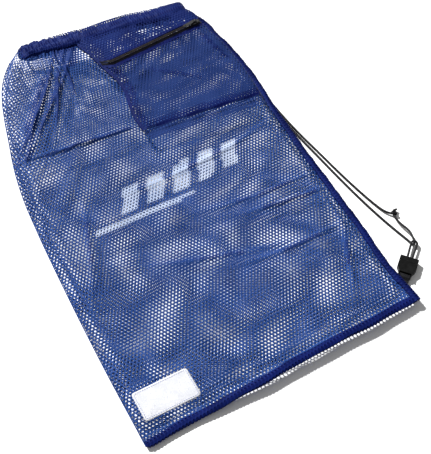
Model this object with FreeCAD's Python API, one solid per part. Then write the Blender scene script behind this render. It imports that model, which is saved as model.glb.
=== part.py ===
"""Mesh drawstring backpack with a zip pocket, lying on its back.

Millimetres. +X runs across the bag, +Y along it towards the mouth, +Z up. Lengths along the bag are
measured from its bottom hem while building, and write_node moves every solid so that the origin is
the middle of the back panel, on the face that the bag lies on.
"""
import FreeCAD, Part
import math
import os

V = FreeCAD.Vector

# ---------------------------------------------------------------- driving dimensions
HALF_LENGTH = 343.0        # from the bottom hem to the middle of the back
MESH = 1.2                 # thickness of the netting
FOLD_Z = 7.0               # height of the left fold, where the two panels meet
FLOOR_RISE = 20.0          # the back panel curls up from the floor over this width
LEVELLED = 0.2             # cut off under the back panel, so that it rests on one flat face
SIDE_WALL = 12.0           # the front panel falls to the edge over this width

SEAM_WIDTH, SEAM_LOW, SEAM_HIGH = 10.0, 5.0, 11.5
HEM_WIDTH = 12.0
HEM_HALF_WIDTH = 213.0

# one row for each cross-section: left end (x, y), right end (x, y), height of the front panel
SECTIONS = [
    ((-213, 12), (203, 12), 10.2),
    ((-213, 28), (200, 28), 16.0),
    ((-213, 60), (199, 60), 16.0),
    ((-213, 150), (202, 150), 16.0),
    ((-206, 330), (204, 330), 20.0),
    ((-201, 405), (206.5, 405), 26.0),
    ((-178, 533), (210, 533), 26.0),
    ((-153, 612), (196, 590), 26.0),
    ((-108, 657), (186, 621), 27.0),
]
MOUTH = ((-97, 681), (178, 646))

POCKET_LEFT, POCKET_BOTTOM = 8.0, 438.0
POCKET_SLOPE = -0.14       # the pocket hangs lower towards the right
POCKET_SEAM = 8.0
POCKET_HEM = 6.0
POCKET_SEAM_UNDER = 26.1   # just over the front panel
POCKET_UNDER = 31.3        # underside of the pocket panel

ZIP_Y = 592.0              # centre line of the zip, at its right end
ZIP_TURN = 3.5             # degrees, with the left end lower
ZIP_LEFT, ZIP_RIGHT = 12.0, 190.0
TAPE_OUT = 12.0            # from the centre line to a tape's outer edge
ZIP_GAP = 1.1              # groove between the two coils
TAPE_LOW = POCKET_UNDER + MESH
TAPE_THICK = 0.8
COIL_WIDTH, COIL_HEIGHT = 2.0, 1.8
SLIDER_X, SLIDER_LENGTH = 174.0, 11.0
PIVOT_X = SLIDER_X + 7.5   # the bar that the pull turns on
PIVOT_Z = TAPE_LOW + TAPE_THICK + COIL_HEIGHT + 2.9
EYE_R, PIVOT_R = 1.5, 0.7
PULL_LENGTH = 22.0

LABEL = (-199.0, 30.0, 78.0, 43.0)     # left, bottom, width, length
LABEL_THICK = 0.6

CORD_D = 3.4
TUNNEL_R = CORD_D / 2 + 0.5

BUCKLE_AT = (240.5, 63.5)  # middle of the plug's outer edge
BUCKLE_TURN = 40.0         # the way the plug pulls out, degrees from +X
BUCKLE_WIDTH = 27.0
HEAD_LENGTH = 8.0
BUCKLE_LOW, BUCKLE_HIGH = 1.0, 9.5
SOCKET_WALL = 1.6
SOCKET_MOUTH = -(HEAD_LENGTH + 0.3)
SOCKET_END = -32.0
WEBBING_WIDTH = 16.0
WEBBING = 1.2

# routes of the cords, by hand: (x, y, z)
OUTER_STRAND = [
    (187.7, 632.8, 10.4), (195.5, 628, 4.6), (200, 614, 2), (203.5, 598, 1.8), (206.5, 570, 1.8),
    (211, 525, 1.8), (214.5, 478, 1.8), (217, 430, 1.8), (219, 385, 1.8), (223.8, 332, 1.8),
    (231, 285, 1.8), (237.5, 237, 1.8), (245.5, 192, 1.8), (252.5, 160, 2.2), (258, 144, 3.4),
    (264, 138.5, 4.0),
]
INNER_STRAND = [
    (187, 632.8, 5.2), (191, 627.5, 2.6), (193.5, 617, 1.8), (197.5, 598.5, 1.8),
    (202, 569, 1.8), (206.5, 524, 1.8), (210, 477, 1.8), (212.6, 429.5, 1.8), (214.8, 384, 1.8),
    (219.3, 333, 1.8), (225, 287, 1.8), (231.2, 233, 1.8), (238.7, 180, 1.8), (246.5, 138, 1.8),
    (253.5, 108.5, 1.8), (258.2, 90.5, 1.8), (260, 79.8, 1.8), (260, 79.8, 9.4),
    (263.6, 89, 9.6), (266.2, 101, 8.6), (263.6, 115, 6.0), (262.6, 127, 4.4), (264.5, 137, 4.0),
]
# the short loop on the plug, in the buckle's own frame: (out along the buckle, across it, z)
LOOP = [
    (-5, 3.4, 5.6), (6, 3.6, 5.6), (19, 4.1, 5.6), (30.5, 4.1, 5.6),
    (30.5, -4.1, 5.6), (19, -4.1, 5.6), (6, -3.6, 5.6), (-5, -3.4, 5.6),
]
KNOT_AT = (266.5, 138.5, 4.6)


# ---------------------------------------------------------------- helpers
def write_node(name, shape):
    """Put the solid in the row's frame and write it."""
    shape = shape.copy()
    shape.translate(V(0, -HALF_LENGTH, 0))
    shape.exportStep(f"parts/{name}.step")
    print(f"{name:24s} solids {len(shape.Solids)} valid {shape.isValid()} {shape.Volume:10.1f} mm3")


def on_bag(shape):
    return shape


def on_buckle(shape):
    """From the buckle's own frame to the bag's."""
    shape = shape.copy()
    shape.rotate(V(0, 0, 0), V(0, 0, 1), BUCKLE_TURN)
    shape.translate(V(*BUCKLE_AT, 0))
    return shape


def on_zip(shape):
    """The zip is built straight across the bag, then turned about its right end."""
    shape = shape.copy()
    shape.rotate(V(ZIP_RIGHT, ZIP_Y, 0), V(0, 0, 1), ZIP_TURN)
    return shape


def box(x, y, z):
    """A box from three (low, high) pairs."""
    return Part.makeBox(x[1] - x[0], y[1] - y[0], z[1] - z[0], V(x[0], y[0], z[0]))


def prism(points, low, high):
    """A plate with this outline in plan."""
    wire = Part.makePolygon([V(x, y, low) for x, y in points + points[:1]])
    return Part.Face(wire).extrude(V(0, 0, high - low))


def section_wire(left, right, outline):
    """An outline of (distance from the left end, height) pairs, stood on the line left to right.

    A distance given as ("R", d) is d short of the right end.
    """
    start, end = V(*left, 0), V(*right, 0)
    length = (end - start).Length
    along = (end - start) / length
    points = []
    for s, z in outline:
        s = length - s[1] if isinstance(s, tuple) else s
        points.append(start + along * s + V(0, 0, z))
    return Part.makePolygon(points + points[:1])


def loft(rows, outline_of):
    """A ruled solid through one outline for each cross-section."""
    wires = [section_wire(left, right, outline_of(height)) for left, right, height in rows]
    return Part.makeLoft(wires, True, True)


def R(distance):
    return ("R", distance)


def cord_path(points):
    """Straight runs joined by tangent arcs, each as large as its two runs allow."""
    points = [V(*p) for p in points]
    edges, start, radii = [], points[0], []
    for before, corner, after in zip(points, points[1:], points[2:]):
        a, b = before - corner, after - corner
        half_turn = (math.pi - a.getAngle(b)) / 2
        reach = 0.45 * min(a.Length, b.Length)
        radii.append(reach / math.tan(half_turn))
        a.normalize()
        b.normalize()
        first, last = corner + a * reach, corner + b * reach
        to_centre = (a + b).normalize()
        depth = radii[-1] / math.cos(half_turn) - radii[-1]
        middle = corner + to_centre * depth
        edges += [Part.LineSegment(start, first).toShape(), Part.Arc(first, middle, last).toShape()]
        start = last
    edges.append(Part.LineSegment(start, points[-1]).toShape())
    return Part.Wire(edges), radii


def tube(points, radius):
    path, radii = cord_path(points)
    start, direction = V(*points[0]), V(*points[1]) - V(*points[0])
    ring = Part.Wire(Part.makeCircle(radius, start, direction))
    return path.makePipeShell([ring], True, False), path.Length, radii


def cord(name, points, place=on_bag):
    solid, length, radii = tube(points, CORD_D / 2)
    expected = math.pi * CORD_D**2 / 4 * length
    print(f"{name}: length {length:.1f}, tightest arcs {[round(r, 1) for r in sorted(radii)[:4]]}, "
          f"volume {solid.Volume:.0f} of {expected:.0f}")
    write_node(name, place(solid))


# ---------------------------------------------------------------- the netting
def back_outline(height):
    """Curls up at both sides; level with the hem where the front is low."""
    low = 0.0 if height > SECTIONS[0][2] else SEAM_LOW + 1
    under = low - LEVELLED
    return [
        (0, FOLD_Z), (FLOOR_RISE * 0.75, under), (R(FLOOR_RISE), under), (R(0), SEAM_LOW + 1),
        (R(0), SEAM_LOW + 1 + MESH), (R(FLOOR_RISE), low + MESH),
        (FLOOR_RISE * 0.75 + 0.5, low + MESH), (1.4, FOLD_Z),
    ]


def back_panel():
    below = box((-300, 300), (-10, 710), (-5, 0))
    return loft(SECTIONS, back_outline).cut(below)


def front_outline(height):
    """Meets the back panel in the fold on the left, and ends in the side seam on the right."""
    edge = SEAM_LOW + 4
    return [
        (0, FOLD_Z), (SIDE_WALL, height), (R(SIDE_WALL), height), (R(0), edge + MESH),
        (R(0), edge), (R(SIDE_WALL + 0.5), height - MESH), (SIDE_WALL + 0.6, height - MESH),
        (1.4, FOLD_Z),
    ]


def side_seam_outline(height):
    bevel = 2.0
    low, high, out = SEAM_LOW, SEAM_HIGH, SEAM_WIDTH
    return [
        (R(0), low), (R(-out + bevel), low), (R(-out), low + bevel), (R(-out), high - bevel),
        (R(-out + bevel), high), (R(0), high),
    ]


def bottom_hem():
    bevel = 2.0
    profile = [
        V(-HEM_HALF_WIDTH, bevel, SEAM_LOW), V(-HEM_HALF_WIDTH, HEM_WIDTH, SEAM_LOW),
        V(-HEM_HALF_WIDTH, HEM_WIDTH, SEAM_HIGH), V(-HEM_HALF_WIDTH, bevel, SEAM_HIGH),
        V(-HEM_HALF_WIDTH, 0, SEAM_HIGH - bevel), V(-HEM_HALF_WIDTH, 0, SEAM_LOW + bevel),
    ]
    face = Part.Face(Part.makePolygon(profile + profile[:1]))
    return face.extrude(V(2 * HEM_HALF_WIDTH, 0, 0))


# ---------------------------------------------------------------- the mouth
CASING_OUT = [
    (-4, 9), (4, 0), (R(4), 0), (R(-4), 9), (R(-2), 22), (R(12), 36), (12, 36), (-2, 22),
]
CASING_IN = [
    (8, 10), (12, 7.5), (R(12), 7.5), (R(8), 10), (R(10), 18), (R(18), 25.5), (18, 25.5), (10, 18),
]


def between(first, second):
    return tuple((a + b) / 2 for a, b in zip(first, second))


def drawstring_route():
    """All the way round inside the casing, in and out at its right end."""
    near_left, near_right, _ = SECTIONS[-1]
    left, right = V(*between(near_left, MOUTH[0]), 0), V(*between(near_right, MOUTH[1]), 0)
    length = (right - left).Length
    along = (right - left) / length
    ends = [
        (length - 2.5, 20), (length - 14, 30.7), (14, 30.7), (3, 20.5), (1.8, 10),
        (10, 3.8), (length - 8, 3.8),
    ]
    inside = [left + along * s + V(0, 0, z) for s, z in ends]
    return [OUTER_STRAND[0], *[tuple(p) for p in inside], INNER_STRAND[0]]


def casing():
    near_left, near_right, _ = SECTIONS[-1]
    ring = None
    for outline in (CASING_OUT, CASING_IN):
        wires = [section_wire(near_left, near_right, outline), section_wire(*MOUTH, outline)]
        solid = Part.makeLoft(wires, True, True)
        ring = solid if ring is None else ring.cut(solid)
    tunnel, _, _ = tube(drawstring_route(), TUNNEL_R)
    return ring.cut(tunnel)


# ---------------------------------------------------------------- the zip pocket
def near_casing(x):
    """Where the casing begins, at this place across the bag."""
    (x0, y0), (x1, y1), _ = SECTIONS[-1]
    return y0 + (y1 - y0) * (x - x0) / (x1 - x0)


def right_edge(y):
    """The right edge of the front panel."""
    ends = [right for _, right, _ in SECTIONS]
    for (x0, y0), (x1, y1) in zip(ends, ends[1:]):
        if y0 <= y <= y1:
            return x0 + (x1 - x0) * (y - y0) / (y1 - y0)


def zip_line(x):
    """The zip's centre line, at this place across the bag."""
    return ZIP_Y + (x - ZIP_RIGHT) * math.tan(math.radians(ZIP_TURN))


def pocket_line(x):
    """The pocket's bottom edge, at this place across the bag."""
    return POCKET_BOTTOM + (x - POCKET_LEFT) * POCKET_SLOPE


def pocket_row(left, y_of):
    """The pocket panel's section along a line across the bag, turned down over the right side."""
    edge = right_edge(y_of(200.0))
    top, under = POCKET_UNDER + MESH, POCKET_UNDER
    outline = [
        (left, under), (edge - 9.6, under), (edge, SEAM_HIGH), (edge + MESH, SEAM_HIGH),
        (edge - 8.6, top), (left, top),
    ]
    points = [V(x, y_of(x), z) for x, z in outline]
    return Part.makePolygon(points + points[:1])


def pocket_panel():
    """A flat panel that turns down over the bag's right side, onto the seam."""
    left = POCKET_LEFT + POCKET_SEAM
    lines = (lambda x: pocket_line(x) + POCKET_HEM, lambda x: 533.0, lambda x: zip_line(x) - 6)
    return Part.makeLoft([pocket_row(left, line) for line in lines], True, True)


def pocket_left_seam():
    x0, x1 = POCKET_LEFT, POCKET_LEFT + POCKET_SEAM
    outline = [(x0, pocket_line(x0)), (x1, pocket_line(x1)), (x1, near_casing(x1)), (x0, near_casing(x0))]
    seam = prism(outline, POCKET_SEAM_UNDER, POCKET_UNDER + MESH)
    below = loft(SECTIONS[4:], lambda h: [(0, -1), (R(0), -1), (R(0), h + 0.1), (0, h + 0.1)])
    return seam.cut(below)


def pocket_bottom_seam():
    x0, x1 = POCKET_LEFT + POCKET_SEAM, right_edge(pocket_line(200.0)) - SIDE_WALL
    low = [(x, pocket_line(x)) for x in (x0, x1)]
    high = [(x, pocket_line(x) + POCKET_HEM) for x in (x1, x0)]
    return prism(low + high, POCKET_SEAM_UNDER, POCKET_UNDER + MESH)


def pocket_facing():
    """The strip between the zip and the casing."""
    x0, x1 = POCKET_LEFT + POCKET_SEAM, 176.0
    low = [(x, zip_line(x) + 6) for x in (x0, x1)]
    return prism(low + [(x1, near_casing(x1)), (x0, near_casing(x0))], POCKET_UNDER, POCKET_UNDER + MESH)


# ---------------------------------------------------------------- the zip
def zip_tape(side):
    edges = sorted((ZIP_Y + side * ZIP_GAP / 2, ZIP_Y + side * TAPE_OUT))
    return box((ZIP_LEFT + 5, ZIP_RIGHT), edges, (TAPE_LOW, TAPE_LOW + TAPE_THICK))


def zip_coil(side):
    inner = ZIP_GAP / 2
    edges = sorted((ZIP_Y + side * inner, ZIP_Y + side * (inner + COIL_WIDTH)))
    low = TAPE_LOW + TAPE_THICK
    return box((ZIP_LEFT + 9, ZIP_RIGHT - 4), edges, (low, low + COIL_HEIGHT))


def zip_stop(x):
    """A metal crimp across both rows."""
    length, over = 2.4, 0.5
    low = TAPE_LOW + TAPE_THICK
    half = ZIP_GAP / 2 + COIL_WIDTH
    top = low + COIL_HEIGHT
    crimp = box((x, x + length), (ZIP_Y - half - over, ZIP_Y + half + over), (low, top))
    return crimp.makeFillet(0.5, [e for e in crimp.Edges if abs(e.BoundBox.ZMin - top) < 0.01])


def zip_slider():
    """Two plates joined by a thin wedge, flanges round the coils, and a bridge for the pull."""
    clear, plate = 0.3, 0.8
    x = (SLIDER_X, SLIDER_X + SLIDER_LENGTH)
    coil_top = TAPE_LOW + TAPE_THICK + COIL_HEIGHT
    coil_out = ZIP_GAP / 2 + COIL_WIDTH
    half = coil_out + clear + 2.0
    top = box(x, (ZIP_Y - half, ZIP_Y + half), (coil_top + clear, coil_top + clear + plate))
    corners = [e for e in top.Edges if e.BoundBox.ZLength > 0.7]
    body = top.makeFillet(2.0, corners)
    for side in (-1, 1):
        edges = sorted((ZIP_Y + side * (coil_out + clear), ZIP_Y + side * (half - 0.3)))
        low = TAPE_LOW + TAPE_THICK + clear
        body = body.fuse(box((x[0] + 2, x[1] - 2), edges, (low, coil_top + clear)))
    wedge = box((x[0] + 1, x[1] - 1), (ZIP_Y - 0.25, ZIP_Y + 0.25), (TAPE_LOW - clear, coil_top + clear))
    under = (TAPE_LOW - clear - plate, TAPE_LOW - clear)
    sole = box((x[0] + 0.5, x[1] - 0.5), (ZIP_Y - 4, ZIP_Y + 4), under)
    body = body.fuse(wedge).fuse(sole)
    for side in (-1, 1):
        edges = sorted((ZIP_Y + side * 1.8, ZIP_Y + side * 2.8))
        post = box((PIVOT_X - 1.2, PIVOT_X + 1.2), edges, (coil_top + clear + plate, PIVOT_Z + 0.9))
        body = body.fuse(post)
    bar = Part.makeCylinder(PIVOT_R, 4.0, V(PIVOT_X, ZIP_Y - 2.0, PIVOT_Z), V(0, 1, 0))
    return body.fuse(bar).removeSplitter()


def zip_pull():
    """An eye on the slider's bar and a long tab, which lies back along the coils."""
    eye_half, droop = 1.4, 4.0
    thick = (PIVOT_Z - 0.5, PIVOT_Z + 0.5)
    eye = Part.makeCylinder(EYE_R, 2 * eye_half, V(PIVOT_X, ZIP_Y - eye_half, PIVOT_Z), V(0, 1, 0))
    neck = box((PIVOT_X - 5, PIVOT_X), (ZIP_Y - eye_half, ZIP_Y + eye_half), thick)
    tab = box((PIVOT_X - PULL_LENGTH, PIVOT_X - 4), (ZIP_Y - 2.6, ZIP_Y + 2.6), thick)
    tab = tab.makeFillet(2.0, [e for e in tab.Edges if e.BoundBox.ZLength > 0.9])
    hole = Part.makeCylinder(1.2, 4, V(PIVOT_X - PULL_LENGTH + 3.4, ZIP_Y, PIVOT_Z - 2))
    pull = neck.fuse(tab)
    pull.rotate(V(PIVOT_X, ZIP_Y, PIVOT_Z), V(0, 1, 0), -droop)
    hole.rotate(V(PIVOT_X, ZIP_Y, PIVOT_Z), V(0, 1, 0), -droop)
    bore = Part.makeCylinder(PIVOT_R + 0.25, 6, V(PIVOT_X, ZIP_Y - 3, PIVOT_Z), V(0, 1, 0))
    return pull.fuse(eye).cut(bore).cut(hole).removeSplitter()


# ---------------------------------------------------------------- the label
def label():
    x, y, width, length = LABEL
    low = SECTIONS[1][2]
    patch = box((x, x + width), (y, y + length), (low, low + LABEL_THICK))
    return patch.makeFillet(4.0, [e for e in patch.Edges if 0.5 < e.BoundBox.ZLength < 0.7])


# ---------------------------------------------------------------- the buckle, in its own frame
def buckle_socket():
    """A hollow housing with windows at its sides, and a bar at its tail for the webbing."""
    half, tail = BUCKLE_WIDTH / 2, 9.5
    outline = [
        (SOCKET_MOUTH, -half), (SOCKET_MOUTH, half), (-19, half), (-25, tail), (SOCKET_END, tail),
        (SOCKET_END, -tail), (-25, -tail), (-19, -half),
    ]
    body = prism(outline, BUCKLE_LOW, BUCKLE_HIGH)
    body = body.makeFillet(1.2, [e for e in body.Edges if e.BoundBox.ZLength > 8])
    wall = SOCKET_WALL
    cavity = box((-24.5, 0), (-half + wall, half - wall), (BUCKLE_LOW + wall, BUCKLE_HIGH - wall))
    corner = prism([(-26, half), (-17.5, half), (-26, tail - 3.4)], 0, 12)
    mirror = prism([(-26, -half), (-17.5, -half), (-26, -tail + 3.4)], 0, 12)
    body = body.cut(cavity.cut(corner).cut(mirror))
    window = box((-18, -12), (-20, 20), (BUCKLE_LOW + wall + 0.6, BUCKLE_HIGH - wall - 0.6))
    slot = box((-29.4, -26), (-WEBBING_WIDTH / 2 - 0.6, WEBBING_WIDTH / 2 + 0.6), (0, 12))
    thin = box((SOCKET_END - 1, -29), (-WEBBING_WIDTH / 2 - 0.6, WEBBING_WIDTH / 2 + 0.6), (0, 3.6))
    over = box((SOCKET_END - 1, -29), (-WEBBING_WIDTH / 2 - 0.6, WEBBING_WIDTH / 2 + 0.6), (6.4, 12))
    return body.cut(window).cut(slot).cut(thin).cut(over)


def buckle_plug():
    """A head with two blind holes for the cord loop, a centre guide and two side arms."""
    half = BUCKLE_WIDTH / 2
    head = box((-HEAD_LENGTH, 0), (-half, half), (BUCKLE_LOW, BUCKLE_HIGH))
    head = head.makeFillet(1.2, [e for e in head.Edges if e.BoundBox.ZLength > 8])
    low, high = BUCKLE_LOW + SOCKET_WALL + 0.4, BUCKLE_HIGH - SOCKET_WALL - 0.4
    plug = head.fuse(box((-22, -HEAD_LENGTH), (-1.5, 1.5), (low, high)))
    for side in (-1, 1):
        arm = [
            (-HEAD_LENGTH, 6.2), (-HEAD_LENGTH, 9.2), (-13, 9.4), (-13, 11.4), (-17.5, 11.4),
            (-21.5, 8.2), (-21.5, 6.4),
        ]
        plug = plug.fuse(prism([(u, side * w) for u, w in arm], low, high))
        start = V(1, side * LOOP[0][1], LOOP[0][2])
        plug = plug.cut(Part.makeCylinder(CORD_D / 2 + 0.3, 7, start, V(-1, 0, 0)))
    return plug.removeSplitter()


def corner_tab():
    """Webbing folded round the socket's bar, both layers running under the corner of the bag."""
    t, low, far = WEBBING, 2.2, -46.0
    outside = [(far, low), (-28, low), (-28, 7.8), (-33, 7.8), (-36, low + 2 * t), (far, low + 2 * t)]
    eye = [(-35, low + t), (-28 - t, low + t), (-28 - t, 7.8 - t), (-32.6, 7.8 - t)]
    solids = []
    for outline in (outside, eye):
        wire = Part.makePolygon([V(u, -WEBBING_WIDTH / 2, z) for u, z in outline + outline[:1]])
        solids.append(Part.Face(wire).extrude(V(0, WEBBING_WIDTH, 0)))
    return solids[0].cut(solids[1])


def tab_bartack():
    """The block of stitches that holds the tab to the underside of the seam."""
    return box((-44.5, -42.5), (-7, 3), (2.2 + 2 * WEBBING, SEAM_LOW))


def cord_knot():
    """An overhand knot with one short tail."""
    centre = V(*KNOT_AT)
    ring = Part.makeTorus(3.0, CORD_D / 2, centre, V(0.3, 0.4, 0.9))
    other = Part.makeTorus(2.6, CORD_D / 2, centre + V(0, 0, 0.4), V(0.7, -0.5, 0.5))
    tail = Part.makeCylinder(CORD_D / 2, 10, centre + V(1, 1, -0.4), V(0.86, 0.5, 0.05))
    return ring.fuse(other).fuse(tail)


def main():
    os.makedirs("parts", exist_ok=True)
    write_node("back_panel", back_panel())
    write_node("front_panel", loft(SECTIONS, front_outline))
    write_node("side_seam", loft(SECTIONS, side_seam_outline))
    write_node("bottom_hem", bottom_hem())
    write_node("mouth_casing", casing())
    write_node("pocket_panel", pocket_panel())
    write_node("pocket_left_seam", pocket_left_seam())
    write_node("pocket_bottom_seam", pocket_bottom_seam())
    write_node("pocket_facing", pocket_facing())
    for name, side in (("lower", -1), ("upper", 1)):
        write_node(f"zip_tape_{name}", on_zip(zip_tape(side)))
        write_node(f"zip_coil_{name}", on_zip(zip_coil(side)))
    write_node("zip_stop_left", on_zip(zip_stop(ZIP_LEFT + 6.6)))
    write_node("zip_stop_right", on_zip(zip_stop(ZIP_RIGHT - 4)))
    write_node("zip_slider", on_zip(zip_slider()))
    write_node("zip_pull", on_zip(zip_pull()))
    write_node("name_label", label())
    write_node("buckle_socket", on_buckle(buckle_socket()))
    write_node("buckle_plug", on_buckle(buckle_plug()))
    write_node("corner_tab", on_buckle(corner_tab()))
    write_node("tab_bartack", on_buckle(tab_bartack()))
    cord("drawstring", drawstring_route())
    cord("strap_cord_outer", OUTER_STRAND)
    cord("strap_cord_inner", INNER_STRAND)
    cord("plug_cord_loop", LOOP, on_buckle)
    write_node("cord_knot", cord_knot())


main()
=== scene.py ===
"""Mesh drawstring backpack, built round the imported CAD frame.

Metres in Blender. The shapes are worked out in millimetres in the bag's own frame: x across the
bag, y along it from the bottom hem to the mouth, z up from the surface that it lies on.
"""
import math

import bpy
import numpy as np
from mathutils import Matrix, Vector


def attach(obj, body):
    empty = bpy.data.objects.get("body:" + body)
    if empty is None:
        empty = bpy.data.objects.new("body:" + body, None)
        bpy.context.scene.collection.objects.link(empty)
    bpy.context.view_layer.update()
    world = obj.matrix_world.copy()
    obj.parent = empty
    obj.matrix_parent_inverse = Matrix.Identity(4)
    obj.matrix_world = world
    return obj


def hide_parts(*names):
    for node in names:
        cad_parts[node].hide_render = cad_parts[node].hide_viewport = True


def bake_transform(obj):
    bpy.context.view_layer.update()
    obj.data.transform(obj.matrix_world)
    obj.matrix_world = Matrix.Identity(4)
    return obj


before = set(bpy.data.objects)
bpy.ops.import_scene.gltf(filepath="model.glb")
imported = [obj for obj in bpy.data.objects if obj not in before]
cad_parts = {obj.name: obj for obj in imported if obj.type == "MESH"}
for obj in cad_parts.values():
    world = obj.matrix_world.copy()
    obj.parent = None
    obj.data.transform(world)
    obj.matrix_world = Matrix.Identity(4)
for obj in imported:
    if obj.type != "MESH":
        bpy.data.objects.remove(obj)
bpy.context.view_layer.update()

MM = 0.001
HALF_LENGTH = 343.0        # from the bottom hem to the origin


def row(points):
    """Points in the bag's millimetres, as metres in the row's frame."""
    p = np.array(points, float)
    return (p - (0.0, HALF_LENGTH, 0.0)) * MM


# ---- camera
CAMERA_AIM = np.array((26.8, 248.6, 0.0))
CAMERA_ELEVATION, CAMERA_TURN = math.radians(58.4), math.radians(-29.45)
CAMERA_DISTANCE = 1354.2
LENS, SENSOR = 73.35, 36.0


def camera():
    level = math.cos(CAMERA_ELEVATION)
    back = np.array((math.sin(CAMERA_TURN) * level, -math.cos(CAMERA_TURN) * level,
                     math.sin(CAMERA_ELEVATION)))
    data = bpy.data.cameras.new("camera")
    data.lens, data.sensor_width = LENS, SENSOR
    eye = bpy.data.objects.new("camera", data)
    bpy.context.collection.objects.link(eye)
    eye.location = row(CAMERA_AIM + back * CAMERA_DISTANCE)
    eye.rotation_euler = Vector(back).to_track_quat("Z", "Y").to_euler()
    bpy.context.scene.camera = eye


camera()


# ---- materials
def shader(name, colour, roughness, **values):
    """A material with these constants."""
    mat = bpy.data.materials.new(name)
    mat.use_nodes = True
    nodes = mat.node_tree.nodes
    bsdf = nodes["Principled BSDF"]
    bsdf.inputs["Base Color"].default_value = (*colour, 1)
    bsdf.inputs["Roughness"].default_value = roughness
    for key, value in values.items():
        socket = bsdf.inputs[key.replace("_", " ")]
        socket.default_value = (*value, 1) if isinstance(value, tuple) else value
    return mat


def node(mat, kind, **inputs):
    n = mat.node_tree.nodes.new(kind)
    for key, value in inputs.items():
        n.inputs[key.replace("_", " ")].default_value = value
    return n


def wire(mat, out, into):
    """Link an output to an input, given as a socket or as the name of one of the shader's."""
    if isinstance(into, str):
        into = mat.node_tree.nodes["Principled BSDF"].inputs[into]
    mat.node_tree.links.new(out, into)


def object_place(mat):
    return node(mat, "ShaderNodeTexCoord").outputs["Object"]


def noise_of(mat, scale, detail):
    noise = node(mat, "ShaderNodeTexNoise", Scale=scale, Detail=detail)
    wire(mat, object_place(mat), noise.inputs["Vector"])
    return noise.outputs["Fac"]


def vary(mat, low, high, scale):
    """Colour that wanders between two shades."""
    ramp = node(mat, "ShaderNodeValToRGB")
    for element, position, colour in zip(ramp.color_ramp.elements, (0.35, 0.65), (low, high)):
        element.position, element.color = position, (*colour, 1)
    wire(mat, noise_of(mat, scale, 3.0), ramp.inputs["Fac"])
    wire(mat, ramp.outputs["Color"], "Base Color")


def rough_range(mat, low, high, scale):
    """Roughness that wanders from low to high."""
    spread = node(mat, "ShaderNodeMapRange", To_Min=low, To_Max=high)
    wire(mat, noise_of(mat, scale, 2.0), spread.inputs["Value"])
    wire(mat, spread.outputs["Result"], "Roughness")


def bump_noise(mat, scale, distance, strength=0.6):
    bump_from(mat, noise_of(mat, scale, 2.0), distance, strength)


def bump_from(mat, height, distance, strength):
    bump = node(mat, "ShaderNodeBump", Strength=strength, Distance=distance)
    wire(mat, height, bump.inputs["Height"])
    wire(mat, bump.outputs["Normal"], "Normal")


def waves(mat, scale, direction):
    wave = node(mat, "ShaderNodeTexWave", Scale=scale, Distortion=0.0)
    wave.bands_direction = direction
    wire(mat, object_place(mat), wave.inputs["Vector"])
    return wave.outputs["Fac"]


def times(mat, a, b):
    product = mat.node_tree.nodes.new("ShaderNodeMath")
    product.operation = "MULTIPLY"
    wire(mat, a, product.inputs[0])
    wire(mat, b, product.inputs[1])
    return product.outputs[0]


DYED = (0.22, 0.36, 1.0)       # the tint of the shine on dyed yarn
WHITE = (1, 1, 1)


def yarn(name, low, high, shine=DYED):
    """Shiny polyester knit: a fine twist along the strands, and shades that wander."""
    mat = shader(name, high, 0.5, Specular_IOR_Level=0.12, Specular_Tint=shine,
                 Sheen_Weight=0.01, Sheen_Roughness=0.4)
    vary(mat, low, high, 30.0)
    rough_range(mat, 0.42, 0.62, 90.0)
    bump_noise(mat, 1800.0, 0.0002)
    return mat


def woven(name, low, high, scale, gloss=0.55):
    """A plain weave: ribs one way crossed by ribs the other way."""
    mat = shader(name, high, gloss, Specular_IOR_Level=0.1, Sheen_Weight=0.01, Sheen_Roughness=0.5)
    vary(mat, low, high, 60.0)
    bump_from(mat, times(mat, waves(mat, scale, "X"), waves(mat, scale, "Y")), 0.0004, 0.8)
    return mat


def moulded(name, low, high):
    """Black plastic from a fine-textured mould."""
    mat = shader(name, high, 0.42, Specular_IOR_Level=0.10)
    vary(mat, low, high, 120.0)
    rough_range(mat, 0.32, 0.52, 400.0)
    bump_noise(mat, 2600.0, 0.00012, 0.5)
    return mat


def enamel(name, colour):
    """Black lacquer on metal, worn a little matt."""
    mat = shader(name, colour, 0.4, Specular_IOR_Level=0.2, Coat_Weight=0.1,
                 Coat_Roughness=0.35)
    vary(mat, tuple(c * 0.8 for c in colour), tuple(c * 1.4 for c in colour), 300.0)
    rough_range(mat, 0.36, 0.56, 700.0)
    bump_noise(mat, 2200.0, 0.00005, 0.4)
    return mat


NET = yarn("net_blue", (0.013, 0.038, 0.150), (0.023, 0.058, 0.205))
# the same net as the front, made lighter for the back layer: painted light
NET_BACK_LIT = yarn("net_blue_back_painted_light", (0.018, 0.048, 0.175), (0.030, 0.068, 0.225))
# the body's net made darker for the pocket and its lining: painted shade of the stacked layers
NET_POCKET_SHADED = yarn("net_pocket_painted_shade", (0.009, 0.021, 0.094), (0.016, 0.033, 0.130))
HEM = yarn("hem_navy", (0.0015, 0.003, 0.045), (0.003, 0.005, 0.070))
HEM_NET = yarn("hem_net_navy", (0.002, 0.005, 0.052), (0.004, 0.009, 0.082))
CASING_NET = yarn("casing_net_navy", (0.003, 0.008, 0.068), (0.006, 0.015, 0.100))
THREAD = yarn("navy_thread", (0.005, 0.009, 0.080), (0.010, 0.016, 0.120))
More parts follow.
